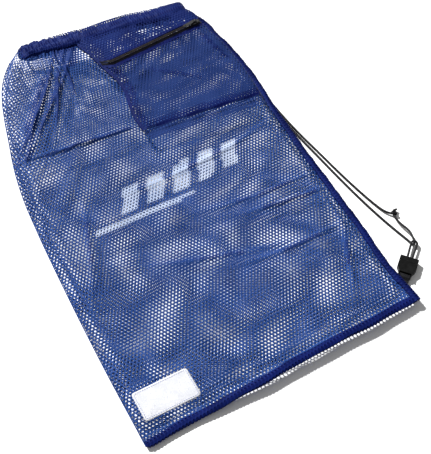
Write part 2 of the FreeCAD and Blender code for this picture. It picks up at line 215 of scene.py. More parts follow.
# a darker copy of the net: painted shade in the front's creases and gathers
NET_CREASE_SHADE = yarn("net_blue_painted_crease_shade", (0.008, 0.020, 0.105), (0.014, 0.032, 0.140))
PRINT = yarn("white_ink", (0.32, 0.39, 0.55), (0.44, 0.51, 0.68), WHITE)
TAPE = woven("zip_tape", (0.006, 0.006, 0.012), (0.013, 0.012, 0.020), 900.0)
COIL = moulded("zip_coil", (0.013, 0.010, 0.009), (0.030, 0.024, 0.021))
ZIP_METAL = enamel("black_enamel", (0.012, 0.012, 0.013))
LABEL_CLOTH = woven("label_satin", (0.78, 0.79, 0.84), (0.86, 0.87, 0.91), 1400.0, 0.5)
STITCH = yarn("label_thread", (0.13, 0.17, 0.40), (0.22, 0.27, 0.54), WHITE)
PLASTIC = moulded("buckle_black", (0.003, 0.003, 0.003), (0.007, 0.007, 0.007))
WEBBING = woven("webbing_black", (0.007, 0.007, 0.009), (0.016, 0.016, 0.019), 700.0)
BRAID = yarn("cord_black", (0.006, 0.006, 0.007), (0.017, 0.017, 0.018), WHITE)


# ---- mesh helpers
def mesh_object(name, points, faces, material, body="bag"):
    """A mesh from points in the bag's millimetres.

    faces is an array of corners, or a list of them with one for each corner count.
    """
    data = bpy.data.meshes.new(name)
    points = row(points)
    groups = [np.asarray(g, np.int32) for g in (faces if isinstance(faces, list) else [faces])]
    loops = np.concatenate([g.ravel() for g in groups])
    totals = np.concatenate([np.full(len(g), g.shape[1], np.int32) for g in groups])
    starts = np.concatenate([[0], np.cumsum(totals)[:-1]]).astype(np.int32)
    data.vertices.add(len(points))
    data.vertices.foreach_set("co", points.astype(np.float32).ravel())
    data.loops.add(len(loops))
    data.loops.foreach_set("vertex_index", loops)
    data.polygons.add(len(totals))
    data.polygons.foreach_set("loop_start", starts)
    data.polygons.foreach_set("loop_total", totals)
    data.update(calc_edges=True)
    data.polygons.foreach_set("use_smooth", [True] * len(totals))
    data.validate()
    data.materials.append(material)
    piece = bpy.data.objects.new(name, data)
    bpy.context.collection.objects.link(piece)
    if body:
        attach(piece, body)
    return piece


def stand_in(slot, cad, *pieces):
    """Hide the CAD node that the pieces stand in for; slot is not used."""
    for piece in pieces:
        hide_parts(cad)


def xyz(x, y, z):
    """Points from their three parts, each of them an array or one number."""
    return np.stack(np.broadcast_arrays(x, y, z), -1)


def grid_faces(rows, columns, closed=False, joined=False):
    """Quads over a grid of points, its columns joined round if closed, its rows if joined."""
    i, j = np.meshgrid(np.arange(rows if joined else rows - 1),
                       np.arange(columns if closed else columns - 1), indexing="ij")
    i2, j2 = (i + 1) % rows, (j + 1) % columns
    corners = (i * columns + j, i * columns + j2, i2 * columns + j2, i2 * columns + j)
    return np.stack(corners, -1).reshape(-1, 4)


def ring_caps(rows, columns):
    """The two end faces of a closed grid."""
    return np.array([np.arange(columns)[::-1], (rows - 1) * columns + np.arange(columns)])


def rings(line, side, up, radius, sides):
    """Circles of points round a line. radius is one number, or one for each point."""
    angle = np.linspace(0, 2 * np.pi, sides, endpoint=False)[None, :, None]
    return line[:, None] + radius * (np.cos(angle) * side[:, None] + np.sin(angle) * up[:, None])


def unit(vectors):
    return vectors / np.maximum(np.linalg.norm(vectors, axis=1, keepdims=True), 1e-9)


def round_tangents(line):
    """Tangents along a closed line."""
    return unit(np.roll(line, -1, 0) - np.roll(line, 1, 0))


def frames_along(line):
    """Tangents and two cross directions along a line that don't twist round it."""
    line = np.asarray(line, float)
    tangent = unit(np.gradient(line, axis=0))
    side = np.zeros_like(line)
    guess = np.cross(tangent[0], (0, 0, 1.0))
    if np.linalg.norm(guess) < 1e-3:
        guess = np.array((1.0, 0, 0))
    for n, t in enumerate(tangent):
        guess = guess - t * (guess @ t)
        guess /= np.linalg.norm(guess)
        side[n] = guess
    return tangent, side, np.cross(tangent, side)


def distances(line):
    """How far along a line each of its points is."""
    return np.concatenate([[0], np.cumsum(np.linalg.norm(np.diff(line, axis=0), axis=1))])


def evenly(line, step):
    """A polyline's points again, evenly spaced, and how far along each is."""
    line = np.asarray(line, float)
    along = distances(line)
    s = np.linspace(0, along[-1], max(int(along[-1] / step), 2) + 1)
    return np.stack([np.interp(s, along, line[:, k]) for k in range(3)], -1), s


def nurbs_line(route):
    """The smooth line whose control points are the route, in the bag's millimetres."""
    curve = bpy.data.curves.new("route", "CURVE")
    curve.dimensions, curve.resolution_u = "3D", 24
    spline = curve.splines.new("NURBS")
    spline.points.add(len(route) - 1)
    for point, place in zip(spline.points, route):
        point.co = (*place, 1)
    spline.order_u = 3
    spline.use_endpoint_u = True
    holder = bpy.data.objects.new("route", curve)
    bpy.context.collection.objects.link(holder)
    bpy.context.view_layer.update()
    mesh = bpy.data.meshes.new_from_object(holder)
    line = np.array([v.co[:] for v in mesh.vertices])
    bpy.data.objects.remove(holder)
    bpy.data.meshes.remove(mesh)
    keep = np.concatenate([[True], np.linalg.norm(np.diff(line, axis=0), axis=1) > 1e-4])
    return line[keep]


CORD_D = 3.4
STRANDS, LAY = 8, 2 * np.pi / 9.0
BRAID_RELIEF = 0.07        # against the radius
THIN_THREAD, THICK_THREAD = 0.26, 0.42         # radii


def braided_tube(name, line, body="bag", step=0.7):
    """A round braid: strands winding opposite ways, which stand out where they cross over."""
    line, s = evenly(line, step)
    _, side, up = frames_along(line)
    sides = 16
    angle = STRANDS / 2 * np.linspace(0, 2 * np.pi, sides, endpoint=False)[None]
    wind = LAY * s[:, None] * 2
    weave = np.sin(angle + wind) * np.sin(angle - wind)
    radius = CORD_D / 2 * (1 - BRAID_RELIEF / 2 + BRAID_RELIEF * weave)
    points = rings(line, side, up, radius[..., None], sides).reshape(-1, 3)
    faces = [grid_faces(len(line), sides, closed=True), ring_caps(len(line), sides)]
    return mesh_object(name, points, faces, BRAID, body)


def tubes(name, lines, radius, material, sides=6):
    """Plain round threads along lines, all in one mesh."""
    points, faces, caps = [], [], []
    base = 0
    for line in lines:
        line = np.asarray(line, float)
        _, side, up = frames_along(line)
        points.append(rings(line, side, up, radius, sides).reshape(-1, 3))
        faces.append(grid_faces(len(line), sides, closed=True) + base)
        caps.append(ring_caps(len(line), sides) + base)
        base += len(line) * sides
    faces = [np.concatenate(faces), np.concatenate(caps)]
    return mesh_object(name, np.concatenate(points), faces, material)


# ---- the cords
OUTER_STRAND = [
    (187.7, 632.8, 10.4), (195.5, 628, 4.6), (200, 614, 2), (203.5, 598, 1.8), (206.5, 570, 1.8),
    (211, 525, 1.8), (214.5, 478, 1.8), (217, 430, 1.8), (219, 385, 1.8), (223.8, 332, 1.8),
    (231, 285, 1.8), (237.5, 237, 1.8), (245.5, 192, 1.8), (252.5, 160, 2.2), (258, 144, 3.4),
    (264, 138.5, 4.0),
]
INNER_STRAND = [
    (187, 632.8, 5.2), (191, 627.5, 2.6), (193.5, 617, 1.8), (197.5, 598.5, 1.8),
    (202, 569, 1.8), (206.5, 524, 1.8), (210, 477, 1.8), (212.6, 429.5, 1.8), (214.8, 384, 1.8),
    (219.3, 333, 1.8), (225, 287, 1.8), (231.2, 233, 1.8), (238.7, 180, 1.8), (246.5, 138, 1.8),
    (253.5, 108.5, 1.8), (258.2, 90.5, 1.8), (260, 79.8, 1.8), (260, 79.8, 9.4),
    (263.6, 89, 9.6), (266.2, 101, 8.6), (263.6, 115, 6.0), (262.6, 127, 4.4), (264.5, 137, 4.0),
]
LOOP = [
    (-5, 3.4, 5.6), (6, 3.6, 5.6), (19, 4.1, 5.6), (30.5, 4.1, 5.6),
    (30.5, -4.1, 5.6), (19, -4.1, 5.6), (6, -3.6, 5.6), (-5, -3.4, 5.6),
]
LOOP_START = (0, 3.5, 5.6)     # where the loop leaves the plug
BUCKLE_AT = np.array((240.5, 63.5, 0.0))
BUCKLE_TURN = math.radians(40.0)
KNOT_AT = np.array((266.5, 138.5, 4.6))
TAIL = np.array([(0, 0, -0.2), (2.4, 1.4, 0.2), (4.6, 3.6, 0.4), (7, 3.4, -0.6)])


def from_buckle(points):
    """Points in the buckle's own frame, as points in the bag's."""
    x, y, z = np.array(points, float).T
    c, s = math.cos(BUCKLE_TURN), math.sin(BUCKLE_TURN)
    return xyz(x * c - y * s, x * s + y * c, z) + BUCKLE_AT


def follows_plug(piece):
    """Bake the piece's transform into its mesh."""
    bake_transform(piece)


def knot():
    """An overhand knot: a closed trefoil of cord, pulled tight."""
    t = np.linspace(0, 2 * np.pi, 90, endpoint=False)
    trefoil = 1.25 * xyz(np.sin(t) + 2 * np.sin(2 * t), np.cos(t) - 2 * np.cos(2 * t),
                         -1.1 * np.sin(3 * t))
    tilt = np.array([[0.9, 0.2, 0.1], [-0.2, 0.9, 0.25], [0, -0.2, 1.0]])
    line = trefoil @ tilt + KNOT_AT
    line[:, 2] += 0.6
    tangent = round_tangents(line)
    side = unit(np.cross(tangent, line - KNOT_AT))
    sides = 14
    points = rings(line, side, np.cross(side, tangent), CORD_D / 2, sides).reshape(-1, 3)
    faces = grid_faces(len(line), sides, closed=True, joined=True)
    return mesh_object("cord_knot_turns", points, faces, BRAID, body=None)


def cords():
    outer_line, inner_line = nurbs_line(OUTER_STRAND), nurbs_line(INNER_STRAND)
    loop_line = nurbs_line(from_buckle(LOOP))
    loop_start = from_buckle(LOOP_START)
    outer = braided_tube("strap_outer", outer_line, body=None)
    inner = braided_tube("strap_inner", inner_line, body=None)
    loop = braided_tube("plug_loop", loop_line, "buckle_plug", step=0.5)
    turns = knot()
    tail = braided_tube("cord_tail", nurbs_line(KNOT_AT + TAIL), body=None, step=0.5)
    for piece in (outer, inner, turns, tail):
        follows_plug(piece)
    stand_in("cord", "cord_knot", turns)
    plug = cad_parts["buckle_plug"]
    for piece, cad, line, start, far_end, lay, others in (
            (outer, "strap_cord_outer", outer_line, OUTER_STRAND[0], "knot", "loose", [turns]),
            (inner, "strap_cord_inner", inner_line, INNER_STRAND[0], "knot", "loose", [tail]),
            (loop, "plug_cord_loop", loop_line, loop_start, "object", "taut", [plug])):
        stand_in("cord", cad, piece)


cords()


# ---- the bag's shape
# tables of (y, x) for the sides, and of (x, z) for the hem
LEFT_FOLD = [
    (-60, -213), (0, -213), (122, -213), (200, -211.5), (276, -209), (360, -205), (433, -199),
    (490, -189), (533, -178), (580, -166), (610, -157), (630, -149.5), (652, -138.5),
    (667, -128), (680, -117), (690, -107), (705, -93),
]
RIGHT_SEAM = [
    (-60, 203), (0, 203), (57, 199.5), (150, 202), (250, 203), (330, 204), (386, 206), (428, 209),
    (495, 211), (540, 208), (575, 202), (600, 201), (617, 197.5), (630, 190.5), (645, 184.5),
    (700, 172),
]
HEM_LINE = [
    (-213, 5.0), (-165, 4.6), (-120, 6.0), (-70, 10.0), (-20, 12.0), (60, 12.6), (130, 12.2),
    (180, 11.2), (213, 10.0),
]
# the casing's edges at its left and right ends
NEAR_MOUTH = ((-108.0, 657.0), (186.0, 621.0))
FAR_MOUTH = ((-97.0, 681.0), (178.0, 646.0))
ZIP_RIGHT, ZIP_Y, ZIP_TURN = 190.0, 592.0, math.radians(3.5)
POCKET_LEFT, POCKET_BOTTOM, POCKET_SLOPE = 8.0, 438.0, -0.14
POCKET_SIDE = [
    (380, 13), (416, 13), (440, 6), (455, 5), (490, 9), (518, 15), (543, 15.5), (580, 8),
    (603, 3), (619, 0), (637, -6), (670, -12),
]
POCKET_Z = 31.9
FLAP, FLAP_Z = 18.5, 27.6      # how far the pocket's net reaches below its seam, and how high it is
# in the terms of FOLDS below
POCKET_CREASES = [(103, 512, -41, 52, 3.0, 1.8), (184, 535, -80, 55, 5.0, 1.5)]
LABEL = (-199.4, 27.9, 80.5, 43.0)      # x, y, width, length
LABEL_TURN = math.radians(-2.0)


def smooth_through(table, at):
    """Catmull-Rom through a table of (where, value)."""
    x, y = np.array(table, float).T
    slope = np.gradient(y, x)
    at = np.clip(at, x[0], x[-1])
    k = np.clip(np.searchsorted(x, at, "right") - 1, 0, len(x) - 2)
    h = x[k + 1] - x[k]
    t = (at - x[k]) / h
    return (y[k] * (2 * t**3 - 3 * t**2 + 1) + y[k + 1] * (3 * t**2 - 2 * t**3)
            + slope[k] * h * (t**3 - 2 * t**2 + t) + slope[k + 1] * h * (t**3 - t**2))


def step_up(x, low, high):
    t = np.clip((x - low) / (high - low), 0, 1)
    return t * t * (3 - 2 * t)


def hump(x, middle, width):
    return np.exp(-((x - middle) / width) ** 2)


def zip_bend(x):
    """The zip's left end turns up towards the mouth."""
    return 12.0 * np.clip((26 - x) / 19, 0, 1.3) ** 1.3


def zip_line(x):
    return ZIP_Y + (x - ZIP_RIGHT) * math.tan(ZIP_TURN) + zip_bend(x)


def pocket_side(y):
    """The left edge of the pocket and of the facing above the zip."""
    return smooth_through(POCKET_SIDE, y)


def pocket_line(x):
    return POCKET_BOTTOM + (x - POCKET_LEFT) * POCKET_SLOPE


def near_casing(x):
    (x0, y0), (x1, y1) = NEAR_MOUTH
    return y0 + (y1 - y0) * (x - x0) / (x1 - x0)


FLAT_WIDTH, FLAT_LENGTH = 416.0, 660.0
DRAWN_IN = 0.55        # how far along the cloth the mouth starts to draw it in


def gathered(u, v):
    """Where a place u across the cloth (0 to 1) comes between the fold and the seam.

    v is how far along the cloth it is. At the casing the drawstring bunches the cloth between
    u 0.2 and 0.5, and the pocket keeps the rest flat.
    """
    at_casing = [
        (0, 0), (0.07, 0.078), (0.14, 0.150), (0.20, 0.196), (0.28, 0.236), (0.36, 0.276),
        (0.44, 0.318), (0.52, 0.385), (0.70, 0.605), (0.85, 0.805), (1, 1),
    ]
    return u + (smooth_through(at_casing, u) - u) * step_up(v, DRAWN_IN, 1.0) ** 1.3


def plan_place(u, v):
    """The cloth's place in plan before it is relaxed."""
    g = gathered(u, v)
    y_left, y_right = NEAR_MOUTH[0][1] + 30, NEAR_MOUTH[1][1] + 8
    end = y_left + (y_right - y_left) * g
    slant = step_up(v, DRAWN_IN, 1.0)
    y = 3 + v * (FLAT_LENGTH * (1 - slant) + (end - 3) * slant)
    left, right = smooth_through(LEFT_FOLD, y), smooth_through(RIGHT_SEAM, y) + 2
    return left + (right - left) * g, y


# soft folds: x, y, heading in degrees, half-length, half-width, height
FOLDS = [
    (-60, 300, -8, 150, 30, 2.0), (-100, 190, -22, 120, 26, 2.0), (20, 120, 6, 150, 30, 2.2),
    (-150, 90, 70, 80, 18, 1.4), (110, 300, 8, 90, 12, 1.6), (150, 160, 58, 70, 16, 1.8),
    (70, 232, 12, 140, 14, 2.2), (60, 385, 3, 170, 12, 2.2), (-120, 420, 52, 120, 12, 2.6),
]
# sharper creases in the same terms: pulled down from the gathers, and pressed in by packing
CREASES = [
    (-114, 566, 52, 95, 11, 3.2), (-105, 566, 51.5, 110, 2.8, 4.0),
    (-93, 558, 51, 100, 2.6, 3.8), (-62, 588, 49, 60, 3.0, 3.6),
    (-140, 520, 58, 60, 3.0, 3.4), (-74, 574, 66, 70, 3.2, 4.0), (-46, 590, 80, 50, 3.0, 3.6),
    (-80, 463, -8, 90, 2.8, 4.6), (110, 258, -6, 90, 3.4, 3.0), (140, 228, -8, 70, 3.6, 3.4),
    (0, 196, -18, 100, 4.4, 2.6), (110, 158, -3, 80, 4.0, 3.0), (60, 350, 3, 120, 4.0, 2.6),
    (-150, 300, 70, 90, 4.2, 2.6), (165, 110, 66, 60, 4.4, 2.8),
]


def ridges(table, x, y, bow):
    """The height of a table of folds at a place in plan. bow bends each of them a little."""
    z = np.zeros_like(x)
    for mid_x, mid_y, heading, half, width, height in table:
        c, s = math.cos(math.radians(heading)), math.sin(math.radians(heading))
        along = (x - mid_x) * c + (y - mid_y) * s
        across = -(x - mid_x) * s + (y - mid_y) * c
        z += height * hump(along, 0, half) * hump(across - bow * along**2, 0, width)
    return z


def ripple(x, y, seed, size, height):
    """Gentle random rolling, the same on every run."""
    r = np.random.default_rng(seed)
    z = np.zeros_like(x)
    for _ in range(9):
        heading, phase = r.uniform(0, 2 * np.pi, 2)
        k = 2 * np.pi / (size * r.uniform(0.7, 1.6))
        z += np.sin(k * (x * math.cos(heading) + y * math.sin(heading)) + phase)
    return z * height / 3


def patch(x, y, box, soft):
    """1 inside a box in plan, falling to 0 over a soft margin."""
    x0, y0, x1, y1 = box
    return (step_up(x, x0 - soft, x0) * (1 - step_up(x, x1, x1 + soft))
            * step_up(y, y0 - soft, y0) * (1 - step_up(y, y1, y1 + soft)))


FRONT_HEIGHT = [
    (0, 13), (30, 14.2), (60, 15.0), (150, 15.5), (330, 19.0), (405, 24), (600, 25.5),
    (640, 27.5), (700, 28),
]
RIM_Z = 6.6                # the height of the cloth's side edges
LABEL_UNDER = 15.0         # the height of the cloth under the label
FOLD_BOW, CREASE_BOW = 0.0004, 0.0007
SHOULDER, SHOULDER_RISE = (594, 633), 8.0      # the y between which the seam rises, and how far


def rim_height(y, u):
    """The height of the cloth's side edges, which rises with the seam to the casing."""
    return RIM_Z + SHOULDER_RISE * step_up(y, *SHOULDER) * (u > 0.5)


def front_height(x, y, u):
    hem = 1 - step_up(y, 8, 52)
    rim = np.minimum(step_up(u, -0.012, 0.065), step_up(1 - u, -0.012, 0.045))
    edge = rim_height(y, u)
    z = edge + (smooth_through(FRONT_HEIGHT, y) - edge) * rim
    label = (LABEL[0], LABEL[1], LABEL[0] + LABEL[2], LABEL[1] + LABEL[3])
    held = np.maximum(patch(x, y, label, 14), 0.9 * patch(x, y, (2, 392, 230, 700), 14))
    free = rim * step_up(y, 0, 60) * (1 - held)
    folds = ridges(FOLDS, x, y, FOLD_BOW) + ridges(CREASES, x, y, CREASE_BOW)
    z = z + free * (folds - 1.2 + ripple(x, y, 3, 120, 1.3))
    z = z + (LABEL_UNDER - z) * np.clip(held, 0, 1) * (y < 120)
    return z + (smooth_through(HEM_LINE, x) - z) * hem


def back_height(x, y, u):
    rim = np.maximum(1 - step_up(u, 0.0, 0.06), 1 - step_up(1 - u, 0.0, 0.06))
    hem = 1 - step_up(y, 6, 46)
    low = 1.5 + np.clip(ripple(x, y, 11, 90, 1.3) + 0.9, 0, 3.5)
    low = low + (rim_height(y, u) - low) * rim
    return low + (smooth_through(HEM_LINE, x) - 1 - low) * hem


COLUMNS, ROWS = 150, 226       # the grid of points that a layer of cloth is worked out on


def pleats(u, v):
    """Pleats that take up the width which the drawstring gathers."""
    du = 1e-3
    x0, y0 = plan_place(u - du, v)
    x1, y1 = plan_place(u + du, v)
    squeeze = np.hypot(x1 - x0, y1 - y0) / (2 * du * FLAT_WIDTH)
    waves_at = [
        (0, 0), (0.15, 0.4), (0.21, 1.4), (0.28, 3.2), (0.35, 5.2), (0.42, 7.0), (0.49, 8.4),
        (0.6, 9.4), (1.0, 11.4),
    ]
    uneven = 2.2 * np.sin(9 * u + 5 * v) + 1.3 * np.sin(27 * u - 4 * v)
    phase = 2 * np.pi * smooth_through(waves_at, u) + uneven
    rate = 2 * np.pi * np.gradient(smooth_through(waves_at, u[0]), u[0])[None]
    run = squeeze * FLAT_WIDTH / np.maximum(rate, 1)
    height = run * np.sqrt(4 * np.clip(1 / np.clip(squeeze, 0.3, 1) - 1.02, 0, 3))
    size = np.clip(height, 0, 1.2) * (0.75 + 0.35 * np.sin(17 * u + 2))
    return size * np.sin(phase) * step_up(v, 0.78, 0.97)


def relax(points, pinned, low, high, rounds):
    """Cloth held where it is pinned, which keeps its threads' lengths, and sags between them.

    low and high are the heights that each point stays between.
    """
    across, along = FLAT_WIDTH / (COLUMNS - 1), FLAT_LENGTH / (ROWS - 1)
    diagonal = math.hypot(across, along)
    loose = (~pinned)[..., None].astype(float)
    links = [((0, 1), across, 1.0), ((1, 0), along, 1.0),
             ((1, 1), diagonal, 0.12), ((1, -1), diagonal, 0.12)]
    p = points.copy()
    for _ in range(rounds):
        p[..., 2] -= 0.02 * loose[..., 0]
        move, count = np.zeros_like(p), np.zeros(p.shape[:2])
        for (di, dj), rest, weight in links:
            a = (slice(0, ROWS - di), slice(max(0, -dj), COLUMNS - max(0, dj)))
            b = (slice(di, ROWS), slice(max(0, dj), COLUMNS + min(0, dj)))
            gap = p[b] - p[a]
            size = np.linalg.norm(gap, axis=-1)
            pull = (size - rest) / np.maximum(size, 1e-6) * 0.5 * weight
            move[a] += gap * pull[..., None]
            move[b] -= gap * pull[..., None]
            count[a] += weight
            count[b] += weight
        p += move / np.maximum(count, 1)[..., None] * 1.6 * loose
        p[..., 2] = np.where(pinned, p[..., 2], np.clip(p[..., 2], low, high))
    return points + softened(p - points)


def softened(move):
    """A move of the cloth with its unevenness from one point to the next taken out."""
    for _ in range(3):
        inner = move.copy()
        inner[1:-1] = (move[:-2] + 2 * move[1:-1] + move[2:]) / 4
        move = inner.copy()
        move[:, 1:-1] = (inner[:, :-2] + 2 * inner[:, 1:-1] + inner[:, 2:]) / 4
    return move


def cloth(height, rounds, sag, rise, share, beyond=0.0):
    """A layer of the bag: its places on an even grid over the flat cloth.

    sag and rise are how far it may move down and up, share is how much of the pleats it takes,
    and beyond is how much further than the front layer its end reaches.
    """
    v, u = np.meshgrid(np.linspace(0, 1, ROWS), np.linspace(0, 1, COLUMNS), indexing="ij")
    x, y = plan_place(u, v)
    y = y + beyond * step_up(v, 0.8, 1.0) * step_up(u, 0.0, 0.14)
    base, ruck = height(x, y, u), pleats(u, v) * share
    points = xyz(x, y, base + ruck)
    pinned = np.zeros(u.shape, bool)
    pinned[0], pinned[-1], pinned[:, 0], pinned[:, -1] = True, True, True, True
    return relax(points, pinned, base - sag - np.abs(ruck), base + rise + np.abs(ruck), rounds)


def creased(x, y):
    """How sharply the front is folded at a place in plan, 0 to 1."""
    sharp = np.clip(ridges(CREASES, x, y, CREASE_BOW) / 6.0, 0, 1)
    return sharp * (1 - patch(x, y, (4, 395, 230, 700), 8))


ROUNDS = 140
FRONT = cloth(front_height, ROUNDS, sag=1.5, rise=2.5, share=1.0)
BACK = cloth(back_height, ROUNDS, sag=0.0, rise=1.2, share=0.35, beyond=12.0)
LAYER = 0.8        # the least height of the back over the floor, and of the front over the back
BACK[..., 2] = np.maximum(BACK[..., 2], LAYER)
FRONT[..., 2] = np.maximum(FRONT[..., 2], BACK[..., 2] + LAYER)


def on_cloth(layer, x, y):
    """The layer's place for flat millimetres, smooth between the points of its grid."""
    fx = np.clip(x / FLAT_WIDTH * (COLUMNS - 1), 0, COLUMNS - 1.001)
    fy = np.clip(y / FLAT_LENGTH * (ROWS - 1), 0, ROWS - 1.001)
    ix, iy = fx.astype(int), fy.astype(int)

    def weights(t):
        return np.stack([-t**3 + 2 * t**2 - t, 3 * t**3 - 5 * t**2 + 2,
                         -3 * t**3 + 4 * t**2 + t, t**3 - t**2]) / 2

    wx, wy = weights(fx - ix), weights(fy - iy)
    total = np.zeros((len(fx), 3))
    for a in range(4):
        for b in range(4):
            at = layer[np.clip(iy + a - 1, 0, ROWS - 1), np.clip(ix + b - 1, 0, COLUMNS - 1)]
            total += (wy[a] * wx[b])[:, None] * at
    return total


# ---- netting
PITCH = 5.25               # between the middles of two holes
HOLE_SHARE = 0.625         # a hole's width against the pitch
YARN_RELIEF = 0.35         # how far a strand's back stands out, and its edges lie in


def drifted(flat, wander):
    """The knit's own unevenness: rows of holes that stray a little from straight."""
    x, y = flat.T
    return flat + wander * np.stack([ripple(x, y, 21, 150, 1.0), ripple(x, y, 22, 150, 1.0)], -1)


def net(name, place, area, turn, material, outward=1.0, stretch=1.0, hole=HOLE_SHARE,
        keep=None, kinds=None, others=(), wander=0.0):
    """Knitted netting: a hexagonal grid of strands on a surface.

    place maps flat millimetres to the surface, area is (x0, y0, x1, y1) in flat millimetres, and
    turn is the angle of the rows of holes. Strands are round-backed, their ridge standing out on
    the side that outward says. hole is a share of the pitch, or a function of the flat place that
    gives it. keep says which cells there are. kinds says which of the other materials a cell has,
    from 1, or 0 for the main one. wander is how far the rows stray from straight.
    """
    x0, y0, x1, y1 = area
    turn = math.radians(turn)
    a1 = PITCH * np.array((math.cos(turn), math.sin(turn)))
    a2 = PITCH * np.array((math.cos(turn + math.pi / 3), math.sin(turn + math.pi / 3)))
    reach = int(max(x1 - x0, y1 - y0) / PITCH * 1.3) + 4
    i, j = np.meshgrid(np.arange(-reach, reach), np.arange(-reach, reach), indexing="ij")
    centres = (i[..., None] * a1 + j[..., None] * a2).reshape(-1, 2)
    centres[:, 1] *= stretch
    centres += ((x0 + x1) / 2, (y0 + y1) / 2)
    spare = 0.3 * PITCH     # cells cut by the edge are squeezed to it, so it is straight
    inside = (centres[:, 0] > x0 - spare) & (centres[:, 0] < x1 + spare)
    inside &= (centres[:, 1] > y0 - spare) & (centres[:, 1] < y1 + spare)
    if keep is not None:
        inside &= keep(*centres.T)
    centres = centres[inside]
    share = hole(*centres.T) if callable(hole) else np.full(len(centres), hole)
    angles = turn + np.radians(30 + 60 * np.arange(6))
    spoke = np.stack([np.cos(angles), np.sin(angles) * stretch], -1) * PITCH / math.sqrt(3)
    corners = (centres[:, None] + spoke).reshape(-1, 2)
    _, first, back_to = np.unique(np.round(corners * 50).astype(np.int64), axis=0,
                                  return_index=True, return_inverse=True)
    ridge = corners[first]
    rim = (centres[:, None] + spoke * share[:, None, None]).reshape(-1, 2)
    flat = np.concatenate([ridge, rim])
    if wander:
        flat = drifted(flat, wander)
    flat = np.stack([np.clip(flat[:, 0], x0, x1), np.clip(flat[:, 1], y0, y1)], -1)
    x, y = flat.T
    near = 0.6      # the millimetres each way that give the surface's slope
    points = place(x, y)
    normal = unit(np.cross(place(x + near, y) - place(x - near, y),
                           place(x, y + near) - place(x, y - near)))
    lift = outward * YARN_RELIEF * np.repeat((1.0, -1.0), (len(ridge), len(rim)))
    points += normal * lift[:, None]
    cells = len(centres)
    outer = back_to.reshape(cells, 6)
    inner = len(ridge) + np.arange(cells * 6).reshape(cells, 6)
    following = (np.arange(6) + 1) % 6
    faces = np.stack([outer, outer[:, following], inner[:, following], inner], -1).reshape(-1, 4)
    if outward < 0:
        faces = faces[:, ::-1]
    piece = mesh_object(name, points, faces, material)
    if kinds is not None:
        for other in others:
            piece.data.materials.append(other)
        which = np.repeat(kinds(*centres.T), 6)
        piece.data.polygons.foreach_set("material_index", which.astype(np.int32))
        piece.data.update()
    return piece


def bars(x, y):
    """Plain printed bars in a row over a thin line, where the maker's print would go."""
    x = x - 213.0
    slanted = x - (y - 318) * 0.42
    inside = np.zeros(x.shape, bool)
    for start in range(-92, 118, 42):
        inside |= (np.abs(y - 340) < 21) & (slanted > start) & (slanted < start + 27)
    return inside | ((np.abs(y - 308 + (x + 60) * 0.02) < 4.2) & (x > -138) & (x < 20))


def pulled_open(x, y):
    """Holes stretched wider along the fold near the mouth, and drawn smaller in the gathers."""
    strip = (1 - step_up(x, 16, 58)) * step_up(y, 380, 520)
    beside = hump(x, 85, 60) * step_up(y, 600, 645)
    return HOLE_SHARE + 0.06 * strip + 0.07 * beside - 0.24 * drawn_tight(x, y)


def drawn_tight(x, y):
    """1 where the drawstring bunches the cloth most."""
    return hump(x, 185, 44) * step_up(y, 570, 640)


def front_holes(x, y):
    """Nearly shut where the cloth is doubled in a crease."""
    at = on_cloth(FRONT, x, y)
    return pulled_open(x, y) - 0.44 * creased(at[:, 0], at[:, 1])


def front_kinds(x, y):
    """1 where the cloth is printed, 2 along the creases and gathers, a darker yarn as painted
    shade.
    """
    at = on_cloth(FRONT, x, y)
    # these cells get the darker yarn, painted shade in the creases and gathers
    folded = (creased(at[:, 0], at[:, 1]) > 0.36) | (drawn_tight(x, y) > 0.5)
    return np.where(bars(x, y), 1, np.where(folded, 2, 0))


def fold_edge():
    """The fold down the left side, where the net turns under."""
    line, _ = evenly(FRONT[::4, 0], 2.0)
    tubes("left_fold", [line], 0.75, NET)


def body_nets():
    area = (0.5, 1, FLAT_WIDTH - 0.5, FLAT_LENGTH - 1)
    front = net("front_net", lambda x, y: on_cloth(FRONT, x, y), area, -1.8, NET,
                hole=front_holes, kinds=front_kinds, others=(PRINT, NET_CREASE_SHADE), wander=1.2)
    back = net("back_net", lambda x, y: on_cloth(BACK, x, y), area, 1.4, NET_BACK_LIT,
               outward=-1.0, stretch=1.012, hole=pulled_open)
    back.visible_shadow = False     # its shadow would fall on the floor under its own strands
    for piece, cad in ((front, "front_panel"), (back, "back_panel")):
        stand_in("mesh", cad, piece)


# ---- hems, seam and casing
SQUARED = 0.8      # 1 gives a soft tube a round section, and less gives a squarer one
HEM_ROUND, SEAM_ROUND, CASING_ROUND = 28.0, 24.0, 54.0     # the net's length round each tube


def soft_tube(line, across, up, half_width, half_thick, ruck=None):
    """A flattened tube of cloth: the function that gives its surface, and its length.

    across and up are one direction each, or one for each point. The function takes millimetres
    along the tube and turns round it. ruck adds to the tube's size, from the share of its
    length and the turns.
    """
    along = distances(line)
    table = np.zeros((len(line), 11))
    table[:, :3], table[:, 3:6], table[:, 6:9] = line, across, up
    table[:, 9], table[:, 10] = half_width, half_thick

    def place(s, turn, grow=0.0):
        at = np.stack([np.interp(s, along, column) for column in table.T], -1)
        c, d = np.cos(2 * np.pi * turn), np.sin(2 * np.pi * turn)
        extra = grow + (ruck(s / along[-1], turn) if ruck else 0)
        wide = np.sign(c) * np.abs(c) ** SQUARED * (at[:, 9] + extra)
        high = np.sign(d) * np.abs(d) ** SQUARED * (at[:, 10] + extra)
        return at[:, :3] + at[:, 3:6] * wide[:, None] + at[:, 6:9] * high[:, None]

    return place, along[-1]


